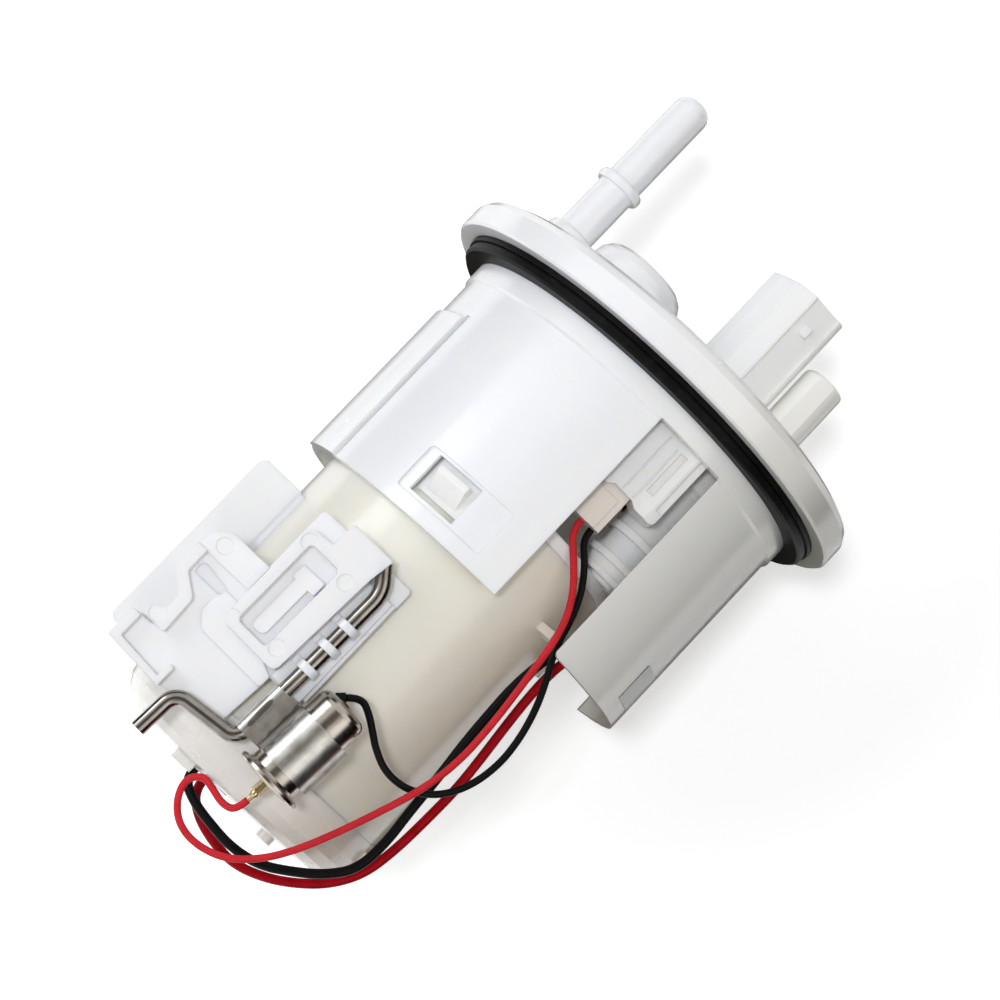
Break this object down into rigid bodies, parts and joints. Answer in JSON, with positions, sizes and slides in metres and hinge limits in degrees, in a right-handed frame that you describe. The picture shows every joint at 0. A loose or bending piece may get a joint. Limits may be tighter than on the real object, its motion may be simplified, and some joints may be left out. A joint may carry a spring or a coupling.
{
  "type": "in-tank fuel pump module",
  "caption": "Flanged in-tank fuel pump with a skirted head, an outlet spud, a translucent canister and a side bracket with a rod-held level sensor.",
  "frame": {"origin": "centre of the flange's underside, the plane that closes the tank opening", "axes": "+Z along the flange axis, out of the tank towards the outlet pipe; -Y towards the sensor bracket; +X towards the closed stub"},
  "size_m": [0.1, 0.1019, 0.1733],
  "materials": {
    "white_plastic": "satin natural white moulding",
    "cream_plastic": "cloudy ivory moulding",
    "pale_plastic": "milky pinkish moulding",
    "dark_plastic": "black moulding",
    "seal_rubber": "black fuel-proof rubber",
    "terminal_metal": "tinned",
    "spring_steel": "plain",
    "zinc_steel": "zinc plated",
    "rod_steel": "polished stainless",
    "nickel_sheet": "nickel plated sheet",
    "brass": "plain",
    "bearing_bronze": "sintered",
    "magnet_ferrite": "ferrite",
    "core_steel": "laminated",
    "copper_wire": "copper",
    "brush_carbon": "carbon",
    "filter_paper": "pleated paper",
    "red_insulation": "red sleeving",
    "black_insulation": "black sleeving"
  },
  "bodies": {
    "housing": {"head_moulding": "white_plastic", "connector_terminals": "terminal_metal", "head_plug": "white_plastic", "seal_ring": "seal_rubber", "valve_seat": "white_plastic", "check_valve_spring": "spring_steel", "regulator_holder": "white_plastic", "regulator_body": "zinc_steel", "regulator_spring": "spring_steel", "sensor_socket": "white_plastic", "sensor_plug": "pale_plastic", "canister_case": "cream_plastic", "canister_lid": "cream_plastic", "canister_cap": "white_plastic", "inlet_screen": "spring_steel", "power_plug": "white_plastic", "filter_element": "filter_paper", "filter_upper_ring": "white_plastic", "filter_lower_ring": "white_plastic", "pump_shell": "zinc_steel", "pump_outlet_cover": "dark_plastic", "upper_bearing": "bearing_bronze", "magnets": "magnet_ferrite", "brushes": "brush_carbon", "pump_housing": "dark_plastic", "lower_bearing": "bearing_bronze", "pump_inlet_cover": "dark_plastic", "rubber_cushion": "seal_rubber", "riser_tube": "white_plastic", "sensor_bracket": "white_plastic", "sensor_rod": "rod_steel", "side_panel": "white_plastic", "sensor_can": "nickel_sheet", "sensor_base": "nickel_sheet", "sensor_terminal": "brass", "thermistor": "dark_plastic", "contact_spring": "spring_steel", "lead_grommet": "seal_rubber", "sensor_clamp": "nickel_sheet", "sensor_lead_red": "red_insulation", "sensor_lead_black": "black_insulation", "power_lead_black": "black_insulation", "power_lead_red": "red_insulation"},
    "armature": {"armature_core": "core_steel", "armature_windings": "copper_wire", "armature_shaft": "spring_steel", "commutator": "copper_wire", "impeller": "dark_plastic"},
    "check_valve": {"check_valve_poppet": "white_plastic"},
    "regulator": {"regulator_valve": "zinc_steel"}
  },
  "joints": [
    {"name": "armature_spin", "type": "hinge", "parent": "housing", "child": "armature", "pos_m": [-0.0067, -0.0065, -0.076], "axis": [0, 0, 1], "continuous": true},
    {"name": "check_valve_lift", "type": "slide", "parent": "housing", "child": "check_valve", "axis": [0, 0, 1], "range_m": [0, 0.0025], "stiffness_N_per_m": 60, "springref_m": -0.003, "deforming": ["check_valve_spring"]},
    {"name": "regulator_lift", "type": "slide", "parent": "housing", "child": "regulator", "axis": [0, 0, 1], "range_m": [0, 0.0012], "stiffness_N_per_m": 200, "springref_m": -0.004, "deforming": ["regulator_spring"]}
  ]
}
